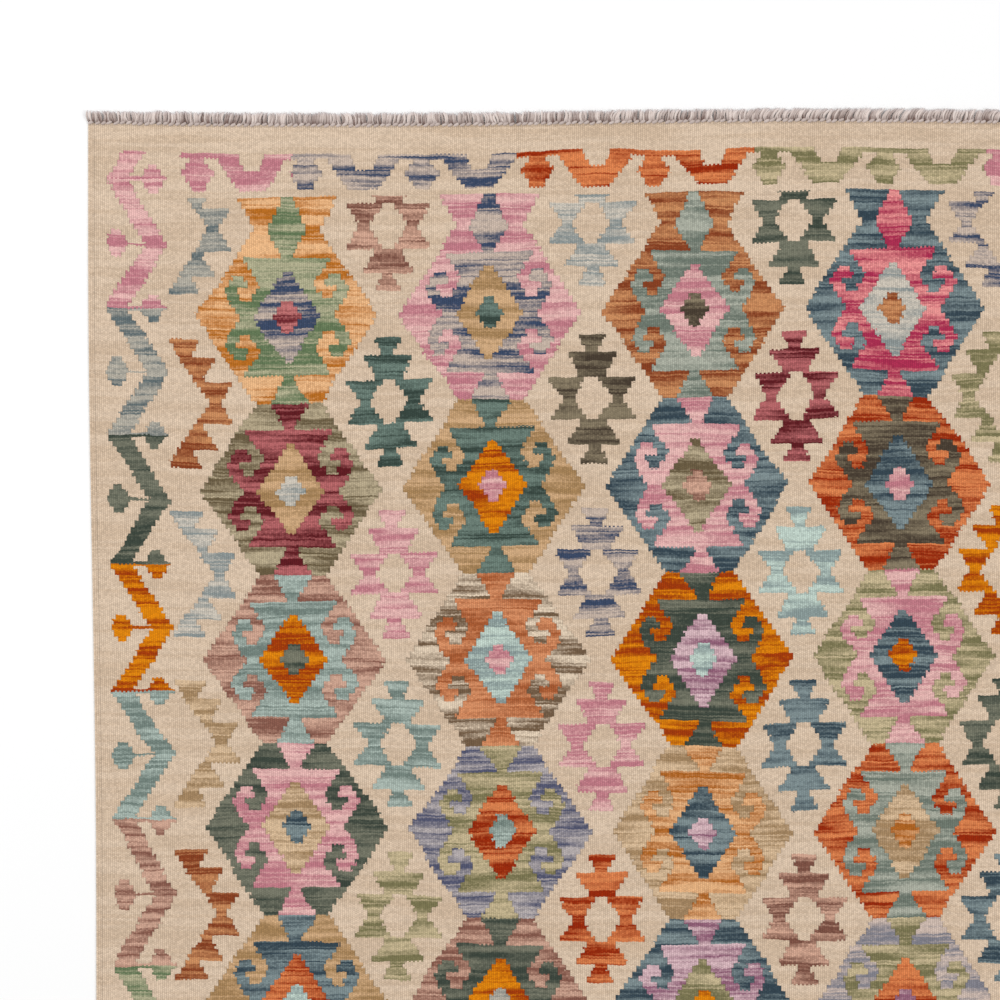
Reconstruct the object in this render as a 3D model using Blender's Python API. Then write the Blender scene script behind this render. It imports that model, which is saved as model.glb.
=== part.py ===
"""Flat-woven kilim rug, about 1.4 x 2 m, lying flat with its pattern side up.

X runs across the rug, Y along its warps and Z up. The origin is on the floor under the middle
of the rug. The rug is one piece of slit tapestry, so its ground, figures, plain end bands and
selvedges are a single flat cloth. At each end the cut warp ends are knotted: the row of knots
is a narrow strip along the cloth's edge, and the loose ends stand out from it as flat locks.
"""

import math
import random

import bmesh
import bpy
from mathutils import Vector

# Driving dimensions, in metres.
CLOTH_WIDTH = 1.424
CLOTH_LENGTH = 1.998
CLOTH_THICKNESS = 0.003
EDGE_ROUNDING = 0.0008  # the weft turns round the outermost warp, so no edge is sharp

SIDE_BOW = 0.0115  # both long edges drift to the right by this much, from far to near end
BOW_FAR_Y = 0.840  # place along the rug where the drift begins
BOW_NEAR_Y = -0.125  # place where it is complete
END_WAVE = 0.0066  # the end edges swing in and out of line by this much
END_WAVE_LENGTH = 1.354
END_WAVE_START = -0.358  # place across the rug where the end edge lies furthest in
SIDE_STEPS = 48  # stretches along a long edge
END_STEPS = 36  # stretches along an end edge

FRINGE_REACH = 0.0176  # from the cloth's edge to the tips of the longest warp ends
FRINGE_GAP = 0.0003  # parts the row of knots from the cloth
KNOT_ROW_DEPTH = 0.0045
KNOT_ROW_HEIGHT = 0.003
LOCKS_PER_END = 150
LOCK_ROOT_SHARE = 0.66  # part of a lock's pitch that its root takes up
LOCK_BELLY_SHARE = 0.60  # the same halfway along, where the ends spread a little
LOCK_TIP_SHARE = 0.42
LOCK_BELLY_HEIGHT = 0.0026
LOCK_TIP_HEIGHT = 0.0013
LOCK_LEAN = 0.0011  # sideways lean of the tips, as the fringe was combed
LOCK_LEAN_SPREAD = 0.0009
LOCK_SHORTFALL = 0.0022  # most that a lock falls short of the full reach
FULL_LOCK_EVERY = 10  # every tenth lock has the full reach

CLOTH_COLOUR = (0.66, 0.50, 0.35)
FRINGE_COLOUR = (0.38, 0.33, 0.31)
CLOTH_ROUGHNESS = 0.92
FRINGE_ROUGHNESS = 0.90


def clear_scene():
    for thing in list(bpy.data.objects):
        bpy.data.objects.remove(thing, do_unlink=True)


def yarn_material(name, colour, roughness):
    material = bpy.data.materials.new(name)
    material.use_nodes = True
    shader = material.node_tree.nodes["Principled BSDF"]
    shader.inputs["Base Color"].default_value = (*colour, 1.0)
    shader.inputs["Roughness"].default_value = roughness
    shader.inputs["Metallic"].default_value = 0.0
    return material


def sideways_bow(y):
    """How far both long edges lie to the right at a place along the rug."""
    travelled = (BOW_FAR_Y - y) / (BOW_FAR_Y - BOW_NEAR_Y)
    travelled = min(1.0, max(0.0, travelled))
    return -0.5 * SIDE_BOW * math.cos(math.pi * travelled)


def end_edge(x):
    """Distance from the middle of the rug to the cloth's end edge, at a place across it."""
    turn = 2.0 * math.pi * (x - END_WAVE_START) / END_WAVE_LENGTH
    return 0.5 * CLOTH_LENGTH - 0.5 * END_WAVE * math.cos(turn)


def finish_object(name, bm, material):
    bmesh.ops.recalc_face_normals(bm, faces=bm.faces)
    mesh = bpy.data.meshes.new(name)
    bm.to_mesh(mesh)
    bm.free()
    mesh.materials.append(material)
    thing = bpy.data.objects.new(name, mesh)
    bpy.context.scene.collection.objects.link(thing)
    return thing


def cloth_outline():
    """Corner points of the cloth, counter-clockwise from its near left corner."""
    half = 0.5 * CLOTH_WIDTH
    near_bow = sideways_bow(-0.5 * CLOTH_LENGTH)
    far_bow = sideways_bow(0.5 * CLOTH_LENGTH)
    near, right, far, left = [], [], [], []
    for n in range(END_STEPS):
        across = half * (2.0 * n / END_STEPS - 1.0)
        near.append((near_bow + across, -end_edge(near_bow + across)))
        far.append((far_bow - across, end_edge(far_bow - across)))
    right_near, right_far = -end_edge(near_bow + half), end_edge(far_bow + half)
    left_near, left_far = -end_edge(near_bow - half), end_edge(far_bow - half)
    for n in range(SIDE_STEPS):
        share = n / SIDE_STEPS
        y = right_near + share * (right_far - right_near)
        right.append((sideways_bow(y) + half, y))
        y = left_far + share * (left_near - left_far)
        left.append((sideways_bow(y) - half, y))
    return near + right + far + left


def build_cloth():
    """The woven cloth: one flat sheet with its real, slightly wandering outline."""
    bm = bmesh.new()
    outline = [bm.verts.new((x, y, 0.0)) for x, y in cloth_outline()]
    underside = bm.faces.new(outline)
    raised = bmesh.ops.extrude_face_region(bm, geom=[underside])
    top = [v for v in raised["geom"] if isinstance(v, bmesh.types.BMVert)]
    bmesh.ops.translate(bm, verts=top, vec=Vector((0.0, 0.0, CLOTH_THICKNESS)))
    rims = [e for e in bm.edges if e.verts[0].co.z == e.verts[1].co.z]
    bmesh.ops.bevel(
        bm,
        geom=rims,
        offset=EDGE_ROUNDING,
        offset_type="OFFSET",
        segments=2,
        profile=0.5,
        affect="EDGES",
        material=-1,
        clamp_overlap=True,
    )
    material = yarn_material("woven_wool", CLOTH_COLOUR, CLOTH_ROUGHNESS)
    return finish_object("rug_cloth", bm, material)


def knot_row_slab(bm, end):
    """The row of knots as a low slab, one stretch for each lock and one for each gap."""
    stretches = 2 * LOCKS_PER_END + 1
    bmesh.ops.create_grid(bm, x_segments=stretches, y_segments=1, size=0.5)
    left_end = sideways_bow(end * 0.5 * CLOTH_LENGTH) - 0.5 * CLOTH_WIDTH
    pitch = CLOTH_WIDTH / LOCKS_PER_END
    gap = pitch * (1.0 - LOCK_ROOT_SHARE)
    for v in bm.verts:
        stop = round((v.co.x + 0.5) * stretches)
        outer = v.co.y > 0.0
        lock, is_root_end = divmod(stop - 1, 2)
        from_left = lock * pitch + 0.5 * gap + (pitch - gap) * is_root_end
        x = left_end + min(CLOTH_WIDTH, max(0.0, from_left))
        y = end_edge(x) + FRINGE_GAP + (KNOT_ROW_DEPTH if outer else 0.0)
        v.co = Vector((x, end * y, 0.0))
    raised = bmesh.ops.extrude_face_region(bm, geom=list(bm.faces))
    top = [v for v in raised["geom"] if isinstance(v, bmesh.types.BMVert)]
    bmesh.ops.translate(bm, verts=top, vec=Vector((0.0, 0.0, KNOT_ROW_HEIGHT)))
    bmesh.ops.recalc_face_normals(bm, faces=bm.faces)


def lock_roots(bm, end):
    """The outer faces of the slab that carry a lock, from left to right."""
    outward = [f for f in bm.faces if end * f.normal.y > 0.9]
    outward.sort(key=lambda f: f.calc_center_median().x)
    return outward[1::2]


def pull_out(bm, face, y, width_share, height, lean):
    """Extends a lock to a new end face, level on its underside."""
    middle = face.calc_center_median().x + lean
    width = width_share * CLOTH_WIDTH / LOCKS_PER_END
    face = bmesh.ops.extrude_discrete_faces(bm, faces=[face])["faces"][0]
    centre = face.calc_center_median()
    for v in face.verts:
        side = 1.0 if v.co.x > centre.x else -1.0
        is_top = v.co.z > centre.z
        v.co = Vector((middle + 0.5 * side * width, y, height if is_top else 0.0))
    return face


def build_fringe(name, end, seed, material):
    """One end's knotted and cut warp ends. end is +1 for the far end and -1 for the near one."""
    draw = random.Random(seed)
    bm = bmesh.new()
    knot_row_slab(bm, end)
    for n, root in enumerate(lock_roots(bm, end)):
        foot = root.calc_center_median()
        root_y = end * foot.y
        short = 0.0 if n % FULL_LOCK_EVERY == 0 else draw.uniform(0.0, LOCK_SHORTFALL)
        lean = LOCK_LEAN + draw.uniform(-LOCK_LEAN_SPREAD, LOCK_LEAN_SPREAD)
        tip_y = end_edge(foot.x) + FRINGE_REACH - short
        belly_y = 0.5 * (root_y + tip_y)
        belly = pull_out(bm, root, end * belly_y, LOCK_BELLY_SHARE, LOCK_BELLY_HEIGHT, 0.3 * lean)
        pull_out(bm, belly, end * tip_y, LOCK_TIP_SHARE, LOCK_TIP_HEIGHT, 0.7 * lean)
    return finish_object(name, bm, material)


def build_rug():
    clear_scene()
    build_cloth()
    cotton = yarn_material("cotton_warp_ends", FRINGE_COLOUR, FRINGE_ROUGHNESS)
    build_fringe("fringe_top", 1.0, 11, cotton)
    build_fringe("fringe_bottom", -1.0, 23, cotton.copy())


build_rug()
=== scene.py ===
"""Looks of the flat-woven kilim rug: its slit-tapestry cloth and its knotted, cut warp ends.

The pattern is charted as a weaver counts it: in steps of two warps across the rug and in rows of
packed weft along it, from its far left corner. One group of nodes turns those counts into a yarn.
"""

import math
import random
from functools import partial
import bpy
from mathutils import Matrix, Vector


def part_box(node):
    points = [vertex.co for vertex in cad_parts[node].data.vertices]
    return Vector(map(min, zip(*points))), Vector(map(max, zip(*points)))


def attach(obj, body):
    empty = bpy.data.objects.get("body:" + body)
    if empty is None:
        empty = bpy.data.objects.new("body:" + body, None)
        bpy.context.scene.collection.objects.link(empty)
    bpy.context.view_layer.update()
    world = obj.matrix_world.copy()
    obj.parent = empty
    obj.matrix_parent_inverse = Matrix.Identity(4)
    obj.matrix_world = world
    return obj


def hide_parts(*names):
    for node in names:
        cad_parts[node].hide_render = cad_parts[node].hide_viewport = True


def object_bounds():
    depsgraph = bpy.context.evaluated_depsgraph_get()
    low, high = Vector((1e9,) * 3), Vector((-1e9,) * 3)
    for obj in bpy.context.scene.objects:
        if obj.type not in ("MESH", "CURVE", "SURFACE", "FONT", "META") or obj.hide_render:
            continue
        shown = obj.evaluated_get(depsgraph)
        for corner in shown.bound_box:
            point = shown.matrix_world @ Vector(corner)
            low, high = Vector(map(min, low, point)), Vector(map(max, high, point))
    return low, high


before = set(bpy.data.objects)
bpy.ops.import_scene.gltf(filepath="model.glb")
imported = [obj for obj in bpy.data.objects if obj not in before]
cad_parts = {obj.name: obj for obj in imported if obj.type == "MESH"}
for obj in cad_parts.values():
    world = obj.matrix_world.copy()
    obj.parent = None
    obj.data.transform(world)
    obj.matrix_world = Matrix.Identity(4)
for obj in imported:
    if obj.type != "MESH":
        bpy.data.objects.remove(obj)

from types import SimpleNamespace

import bmesh
import bpy
from mathutils import Matrix, Vector, noise

cad_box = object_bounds()

# ---- Sizes, in metres. The outline's bow and wave are those of the rug's own cloth.

SIDE_BOW = 0.0115  # both long edges drift to the right by this much, from far to near end
BOW_FAR_Y = 0.840
BOW_NEAR_Y = -0.125
END_WAVE = 0.0066  # the end edges swing in and out of line by this much
END_WAVE_LENGTH = 1.354
END_WAVE_START = -0.358

cloth_low, cloth_high = (Vector(corner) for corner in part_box("rug_cloth"))
CLOTH_WIDTH = cloth_high.x - cloth_low.x - SIDE_BOW
CLOTH_LENGTH = cloth_high.y - cloth_low.y - END_WAVE
CLOTH_TOP = cloth_high.z

# The weave. Every edge in the pattern falls between two warps and between two passes of weft.
STEPS = 244  # across the rug
ROWS = 230  # along it
WARPS_PER_STEP = 2  # a warp is 2.9 mm
STEP = CLOTH_WIDTH / STEPS
PICK_ROWS = 0.25  # two passes of weft there and back, 2.2 mm, which is where a yarn can change
RIB_HEIGHT = 0.0004  # relief of one warp under its weft
SELVEDGE_WARPS = 3  # doubled warps along each side
SELVEDGE_RIB_HEIGHT = 0.0009
COLUMNS_PER_WARP = 4
LENGTHS = 20  # stretches along the rug
END_TURN_ROWS = (0.0, 0.06, 0.2)  # where the cloth rounds over at its two ends
END_TURN_DEPTH = 0.3  # share of its thickness that it rounds over by
RIPPLE = 0.001  # how far the cloth lies off the floor in its softest waves
RIPPLES_PER_METRE = (3.1, 2.3)
RIPPLE_SLICE = 4.0  # where the noise that they come from is cut

# The knotted ends
WARPS_PER_KNOT = 3
KNOT_SIZE = (0.0100, 0.0052, 0.0050)  # a slanted turn of yarn
KNOT_SIDES = 10
KNOT_RINGS = 6
KNOT_SLANT = 0.45  # radians
KNOT_OVERLAP = 0.0024  # the knots ride this far up onto the cloth
KNOT_WANDER = 0.0009  # and lie this far out of line at most
BUNCH_TONES = (0.48, 0.68)  # how pale the ends of one knot are
KNOT_TONE = 0.35  # how much paler the knot is, as its yarn is stretched tight
END_TONE = 0.38  # most that one end is paler or darker than the others
ENDS_PER_KNOT = 4
END_WIDTH = 0.0033
END_WIDTHS = (0.8, 1.15)  # the thinnest and the thickest end, as shares of that
END_SWELL = 0.2  # share by which an end swells on its way out, as it frays
END_TIP = 0.45  # and share of its width that is left at its tip
END_SIDES = 6
END_RINGS = 5
FRINGE_REACH = 0.0195  # from the cloth's edge to the tips of the longest ends
FRINGE_SHORTFALL = 0.0042  # most that an end falls short of it
TIP_ROOM = 0.3  # share of its width that an end's slanted tip takes up past its middle
ROOT_OUT = 0.0005  # the ends leave a knot this far out from its middle
ROOT_LIFT = 0.0008  # and up to this far above or below it
ROOT_SPREAD = 0.0086  # across one knot's ends, where they leave it
TIP_SPREAD = 0.0092
LEAN_KEPT = 0.92  # share of a knot's sideways lean that the next one has too
LEANS = (-0.0020, 0.0023)  # the rest of it
LEAN_BEND = 0.35  # share of the lean by which the ends bow against it, so they turn as they go
BUNCH_CURL = 0.0018  # most that one knot's ends curl to a side together
END_STRAY = 0.0015  # most that one end's tip lies to the side of its place
END_HEIGHTS = (0.0022, 0.0052)  # the ends lie on each other, this far off the floor
END_RISE = 0.0022  # and arch up by as much as this
FAR_FRINGE_SEED = 3
NEAR_FRINGE_SEED = 5

# The studio
PIXEL = 0.00141  # what one pixel of the photograph covers on the rug
PHOTO_PIXELS = 1000
LENS = 80.0
SENSOR = 36.0
CAMERA_AIM = (-0.137, 0.467)
FLOOR_REACH = 6.0  # from its middle to its sides
FLOOR_DROP = 0.0002
SKY_STRENGTH = 0.50
LAMPS = (
    # name, place, size, watts
    ("far_left_softbox", (-5.2, 3.8, 6.0), 3.5, 350.0),
    ("right_softbox", (4.5, -1.0, 6.0), 3.5, 175.0),
)
LAMP_AIM = (0.0, 0.3, 0.0)

# ---- The chart. Widths are in steps and heights in rows.

COLUMNS = 4  # medallions across
FIGURE_ROWS = 7  # medallions along
CELL_STEPS = 49
CELL_ROWS = 28
FIRST_CELL_STEP = 24  # the medallions' ground begins this far in
FIRST_CELL_ROW = 17
FIELD_ROW = 11.75  # the figures are cut off here, behind the end border
CUT_FIGURE_STRETCH = 0.77  # the cut medallions at the ends are woven this much steeper
CUT_STAR_LIFT = 0.4  # and the stars beside them this much closer to the end

# Half widths of one half of a medallion, from its middle outwards. Its outline, its diamond and
# its eye narrow by a step for each row. The horns end at `horn`, and their tips curl back
# between `curl_from` and `curl_to`.
MEDALLION_OUTER = 22.0
MEDALLION_DIAMOND = 8.2
DIAMOND_END_ROW = 7.5
MEDALLION_EYE = 3.4
EYE_END_ROW = 2.6
HORNS = (
    # up to row, horn, and in the rows of the curl also curl_from and curl_to
    (0.6, 11.6),
    (1.6, 12.7),
    (2.6, 13.7),
    (3.8, 8.6, 11.4, 14.6),
    (4.8, 7.4, 12.4, 15.2),
    (5.9, 6.8, 9.7, 14.4),
    (6.8, 7.5, 10.5, 13.4),
    (7.9, 8.6),
    (8.9, 9.7),
    (9.75, 10.4),
    (10.5, 1.4),
    (11.3, 1.8),
    (12.3, 2.7),
    (13.2, 3.6),
    (16.0, 4.5),
)
# Half widths of one half of a star, which sits where four medallions meet.
STAR = (
    # up to row, inner, outer
    (0.7, 4.4, 7.3),
    (1.7, 3.6, 8.3),
    (2.6, 2.6, 9.3),
    (3.5, 1.6, 10.2),
    (4.6, 0.0, 3.4),
    (5.5, 0.0, 4.3),
    (6.4, 0.0, 5.1),
    (7.4, 0.0, 6.1),
    (8.4, 0.0, 1.5),
    (9.5, 0.0, 2.3),
    (10.4, 0.0, 3.1),
    (16.0, 0.0, 0.0),
)
# The half stars along the sides, in steps from the edge of the rug.
HALF_STAR = (
    # up to row, near side, far side
    (0.7, 29.4, 32.2),
    (1.7, 28.4, 33.2),
    (2.6, 27.4, 34.0),
    (3.5, 26.4, 34.8),
    (4.6, 25.4, 28.2),
    (5.5, 24.4, 29.1),
    (6.4, 23.4, 29.9),
    (7.4, 22.4, 30.8),
    (8.4, 21.4, 25.3),
    (9.5, 20.4, 26.2),
    (10.4, 19.4, 27.0),
    (16.0, 0.0, 0.0),
)
# The border across each end: knobs hang from a line, with a bowl between each two.
END_BORDER_ROW = 4.7
END_BORDER_STEPS = (22.5, 225.0)  # where the line begins and ends
FIRST_KNOB_STEP = 26.8
KNOB_STEPS = 28.0  # from one knob's middle to the next
FIRST_KNOB_STEPS = 26.0  # and from the first one's
END_BORDER = (
    # up to row, knob, bowl inside, bowl outside (half widths from the knob's or bowl's middle)
    (0.8, 0.0, 3.2, 16.0),
    (1.6, 2.0, 2.8, 8.5),
    (2.6, 3.0, 2.1, 7.6),
    (3.6, 4.0, 0.0, 6.5),
    (4.5, 3.1, 0.0, 5.5),
    (5.3, 2.1, 0.0, 4.5),
    (5.9, 1.9, 0.0, 3.6),
    (8.0, 0.0, 0.0, 0.0),
)
# The border along each side: a zigzag band with a knob in every bay.
ZIGZAG_START_ROW = 4.5
ZIGZAG_TURN_ROW = 8.8  # its first turn nearest to the edge, where the next yarn begins
ZIGZAG_ROWS = 20.9  # from one such turn to the next
ZIGZAG_LONG_ROW = 113.3  # one turn is woven longer than the others
ZIGZAG_LONG_ROWS = 24.0
ZIGZAG_SLOPE = 0.96
ZIGZAG_NEAR = 14.2  # the band's two sides, at its turn furthest from the edge
ZIGZAG_FAR = 19.5
BAY_KNOB_STEP = 6.9  # a knob's middle, in the bay beside the edge
TURN_KNOB_STEP = 15.8  # and in the bay beside the field
BORDER_KNOB = (
    # up to row, half width
    (0.5, 2.6),
    (1.4, 2.2),
    (2.2, 1.2),
    (16.0, 0.0),
)
LINE_STEPS = (4.4, 19.4)  # a line joins each knob to the band
STEM_ROWS = 0.18  # half height of a knob's own line
CHANGE_ROWS = 0.34  # and of the line on which the next yarn begins

CHART_SPAN = 16.0  # rows that one chart covers, from a figure's middle outwards
WIDEST = 64.0  # steps that a full colour channel stands for, where a chart is kept as a ramp
YARN_SLOTS = 32  # a ramp's most stops, so the most yarns and the most cells in one table

YARNS = {
    # name: (light tone, dark tone) of the wool, which the dye takes unevenly
    "sand": ("#d8c2ab", "#d0b9a1"),
    "amber": ("#e3b181", "#c07c3e"),
    "sage": ("#a9a889", "#70805f"),
    "navy": ("#b8a99f", "#545c6f"),
    "crimson": ("#b96f6f", "#7c353b"),
    "pink": ("#dfb1ae", "#c4868e"),
    "ochre": ("#c9a57e", "#aa8860"),
    "dark_teal": ("#687b72", "#405049"),
    "terracotta": ("#c2865c", "#924f31"),
    "grey_teal": ("#a4a89b", "#788176"),
    "dark_olive": ("#817560", "#52473a"),
    "steel_blue": ("#78878a", "#42525b"),
    "hot_pink": ("#e38f90", "#b54760"),
    "ice_blue": ("#c5beb2", "#969b98"),
    "olive": ("#ad9f83", "#76684f"),
    "burgundy": ("#ad6264", "#6e2a2f"),
    "orange": ("#d88228", "#ac4b1a"),
    "mauve": ("#c69e8b", "#93685a"),
    "aqua": ("#a5b3ab", "#7c8b84"),
    "undyed_grey": ("#d5c2ab", "#86705a"),
    "lilac": ("#cfafb6", "#9c7083"),
    "bottle_green": ("#707263", "#464e44"),
    "rust": ("#d47d50", "#a33c1e"),
    "periwinkle": ("#aaa3a5", "#646579"),
    "pale_sage": ("#bdae8b", "#87805d"),
    "apricot": ("#deab7c", "#b8743c"),
    "oatmeal": ("#d1b594", "#ab8e6c"),
    "lavender": ("#c4b3aa", "#8e8a90"),
    "sky_blue": ("#bacbc2", "#93a3a0"),
    "rose_brown": ("#c79d89", "#8a6052"),
    "blue_grey": ("#aaa69b", "#6f7878"),
    "salmon": ("#d28d65", "#af6641"),
}
# Which yarns each medallion is woven in, column by column from the far end: ground, horns,
# diamond and eye.
MEDALLIONS = (
    # first column
    ("amber", "sage", "navy", "crimson"),
    ("olive", "burgundy", "ochre", "ice_blue"),
    ("mauve", "aqua", "orange", "bottle_green"),
    ("bottle_green", "pink", "oatmeal", "steel_blue"),
    ("ochre", "steel_blue", "rust", "sky_blue"),
    ("periwinkle", "apricot", "dark_teal", "pink"),
    ("terracotta", "pale_sage", "navy", "amber"),
    # second column
    ("pink", "navy", "ochre", "dark_teal"),
    ("ochre", "dark_teal", "orange", "pink"),
    ("undyed_grey", "salmon", "sky_blue", "pink"),
    ("periwinkle", "pale_sage", "rust", "aqua"),
    ("mauve", "bottle_green", "orange", "blue_grey"),
    ("sage", "crimson", "oatmeal", "steel_blue"),
    ("orange", "dark_olive", "aqua", "rose_brown"),
    # third column
    ("terracotta", "grey_teal", "pink", "dark_olive"),
    ("steel_blue", "pink", "olive", "rose_brown"),
    ("orange", "bottle_green", "lilac", "sky_blue"),
    ("oatmeal", "apricot", "steel_blue", "lilac"),
    ("steel_blue", "lilac", "pale_sage", "orange"),
    ("rust", "navy", "ochre", "dark_teal"),
    ("olive", "pink", "burgundy", "ice_blue"),
    # fourth column
    ("steel_blue", "hot_pink", "ice_blue", "terracotta"),
    ("rust", "dark_olive", "steel_blue", "pink"),
    ("pale_sage", "pink", "steel_blue", "orange"),
    ("rust", "grey_teal", "oatmeal", "apricot"),
    ("lavender", "pale_sage", "rust", "lilac"),
    ("amber", "bottle_green", "sky_blue", "crimson"),
    ("dark_teal", "apricot", "rose_brown", "oatmeal"),
)
# The stars' yarns, from the left side of the rug to its right, each column from the far end.
STARS = (
    ("blue_grey", "terracotta", "ice_blue", "oatmeal", "terracotta", "lilac", "dark_teal", "navy"),
    ("rose_brown", "dark_teal", "pink", "aqua", "pale_sage", "navy", "terracotta", "sage"),
    ("ice_blue", "dark_olive", "navy", "pink", "rust", "dark_teal", "oatmeal", "burgundy"),
    ("bottle_green", "burgundy", "sky_blue", "steel_blue", "rose_brown", "amber", "aqua", "pink"),
    ("navy", "pale_sage", "orange", "bottle_green", "steel_blue", "mauve", "olive", "aqua"),
)
# The end border's yarns and the step at which each begins.
END_BORDER_YARNS = ((0, "pink"), (49.5, "navy"), (103.5, "rust"), (161, "pale_sage"), (217, "pink"))
# The side borders' yarns, one for each turn of the zigzag.
SIDE_BORDER_YARNS = (
    "pink", "pink", "blue_grey", "bottle_green", "orange", "aqua", "mauve", "sage", "rust",
    "navy", "ochre", "dark_teal", "pink", "blue_grey",
)
RIGHT_SIDE_SHIFT = 2  # the right border is this many yarns ahead

# A lot is an area woven in one go from one dyeing. Lots are numbered apart for each figure.
STAR_LOTS = 64
LEFT_BORDER_LOTS = 110
RIGHT_BORDER_LOTS = 126
END_BORDER_LOTS = 150

# How far the medallions that were woven first stray from their even places, column by column.
STRAY = (
    # (steps to the right, rows towards the near end)
    ((-0.5, 0.3), (-0.1, 0.5), (-0.1, 0.0), (-0.2, -0.7)),
    ((-0.8, -0.5), (-0.3, 0.0), (0.4, -0.1), (0.6, 0.1)),
    ((0.0, -0.5), (0.0, 0.0), (0.9, 0.3), (0.1, 0.3)),
    ((-1.2, -0.7), (0.0, -0.3), (0.2, -0.5), (0.0, 0.0)),
)
STRAY_ELSEWHERE = 0.4

# ---- How the cloth shows its making

WANDER_ROWS = 1.2  # the weft is beaten down by hand, so it rises and falls by up to half of this
WANDER_STEPS = 24  # over stretches this wide, which is 140 mm
WANDER_LENGTH = 9  # and this many rows long, 78 mm
WANDER_NOISE = (1.0, 1.0, 0.3, 8.0)  # scale, detail, roughness and lacunarity
TOOTH = 0.20  # share of a pair of passes by which it lies further along on every other warp
SLIP_STEPS = 1.1  # a colour's edge slips sideways by up to half of this, which is one warp
SLIP_EVERY = 13  # over stretches this many steps wide, 76 mm
SLIP_LENGTH = 4  # and this many rows long, 35 mm
SMOOTH_NOISE = (1.0, 0.0)  # scale and detail, for the slips and the fine streaks
STREAK_STEPS = 26  # the dye's streaks are about this long, 150 mm
BROAD_STREAK_ROWS = 1.9  # the broad ones are this high, 17 mm, and the fine ones are one pass
BROAD_STREAK_NOISE = (1.0, 1.0, 0.6)  # scale, detail and roughness
FINE_STREAKS = 1.7  # how far a fine one may lie from the tone of a broad one
STREAK_CONTRAST = (0.37, 0.63)  # noise at which a broad one is wholly light or dark
YARNS_APART = 97  # how far apart in the noise the first and the last yarn's streaks lie
LOTS_APART = 3.7  # and those of two lots
SPREAD_LIGHT = 0.12  # the table's tones are those of streaks that blur together from a step away,
SPREAD_DARK = 0.25  # so the yarn's own lie further apart, by these shares of their difference
NOISE_OFF_GRID = 0.83  # noise is level at whole numbers, so counts are scaled off them
BEAD_ROWS = 0.30  # real beads are 1.4 mm high, and these are drawn 2.6 mm high so that they show
SPECKLE = 0.25  # how far a bead's own tone may lie from its streak's
HEATHER = 0.20  # how much a bead's brightness may differ from its neighbour's
DYE_DEPTH = 1.03  # a bead's own colour is deeper than its yarn looks from a step away
BEAD_FACE = 1.11  # and its face is lighter
GROOVE_SHADE = 0.26  # the grooves between warps are darker by this share
BEAD_SHADE = 0.14  # and the gaps between two beads on one warp by this
SLIT_SHADE = 0.25  # painted shade in a slit between two colours, where it opens into the cloth
BEAD_RELIEF = 0.0004
BEAD_BUMP = 0.8  # share of that relief that the beads keep, as they are packed tight
SELVEDGE_SEAM = (1.25, 1.65)  # steps from the side, where a groove ends the selvedge
SELVEDGE_SHADE = 0.14
KNOT_SHADOW_ROWS = 0.5  # painted shadow of the knots, on the cloth beside them over this many rows, 4 mm
# how much darker that painted shadow of the knots makes the cloth
KNOT_SHADOW = 0.16

# And how the warp ends show theirs. Tones run from 0, which is dark, to 1.
COTTON_DARK = "#78615a"
COTTON_PALE = "#e2d4cd"
COTTON_FRAYED = "#dcd6da"
FIBRE_NOISE = (1000.0, 2.0, 0.6)  # fibres in a metre, detail and roughness
FIBRE_CONTRAST = 0.5
FIBRE_RELIEF = 0.0003
FIBRE_BUMP = 0.7
TONE_CONTRAST = 1.1  # how strongly the tones of single ends and knots differ
ROOT_GRIME_AND_SHADE = -0.62  # darker where an end leaves its knot: grime, and painted shade among the ends
END_GRIME_AND_SHADE = -0.15  # and over the outer part of its length, from the share below on
ROOT_DARKENING_ENDS = 0.5
FRAYED_FROM = 0.7  # the rest of an end's length pales towards the colour of frayed yarn
FRAYED_PALING = 0.5  # by this share at its tip

# ---- Places on the rug


def sideways_bow(y):
    """How far both long edges lie to the right at a place along the rug."""
    travelled = (BOW_FAR_Y - y) / (BOW_FAR_Y - BOW_NEAR_Y)
    travelled = min(1.0, max(0.0, travelled))
    return -0.5 * SIDE_BOW * math.cos(math.pi * travelled)


def end_edge(x):
    """Distance from the middle of the rug to the cloth's end edge, at a place across it."""
    turn = 2.0 * math.pi * (x - END_WAVE_START) / END_WAVE_LENGTH
    return 0.5 * CLOTH_LENGTH - 0.5 * END_WAVE * math.cos(turn)


def place_on_rug(step, row):
    """Where a step and a row of the chart lie on the rug, as x and y."""
    towards_far = 1.0 - 2.0 * row / ROWS
    x = sideways_bow(0.5 * CLOTH_LENGTH * towards_far) + (step - 0.5 * STEPS) * STEP
    return x, end_edge(x) * towards_far


def medallion_stray(column, line):
    """How far a medallion strays from its even place. Lines past either end repeat the last."""
    column = min(COLUMNS - 1, max(0, column))
    line = min(FIGURE_ROWS - 1, max(0, line))
    if line < len(STRAY[column]):
        return Vector(STRAY[column][line])
    draw = random.Random(10 * column + line)  # a seed of its own for each medallion
    return Vector((draw.uniform(-1, 1), draw.uniform(-1, 1))) * STRAY_ELSEWHERE


def stray(step, row):
    """The same for any place on the rug, blended evenly between the medallions."""
    across = (step - FIRST_CELL_STEP) / CELL_STEPS - 0.5
    along = (row - FIRST_CELL_ROW) / CELL_ROWS - 0.5
    column, line = math.floor(across), math.floor(along)
    across, along = across - column, along - line
    far = medallion_stray(column, line).lerp(medallion_stray(column + 1, line), across)
    near = medallion_stray(column, line + 1).lerp(medallion_stray(column + 1, line + 1), across)
    in_from_side = min(step, STEPS - step) / FIRST_CELL_STEP
    in_from_end = min(row, ROWS - row) / FIRST_CELL_ROW
    return far.lerp(near, along) * min(1.0, in_from_side, in_from_end)


def ripple(x, y):
    """The soft unevenness of a cloth that lies flat: its height off the floor."""
    across, along = RIPPLES_PER_METRE
    return RIPPLE * max(0.0, noise.noise(Vector((across * x, along * y, RIPPLE_SLICE))))


# ---- Meshes


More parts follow.
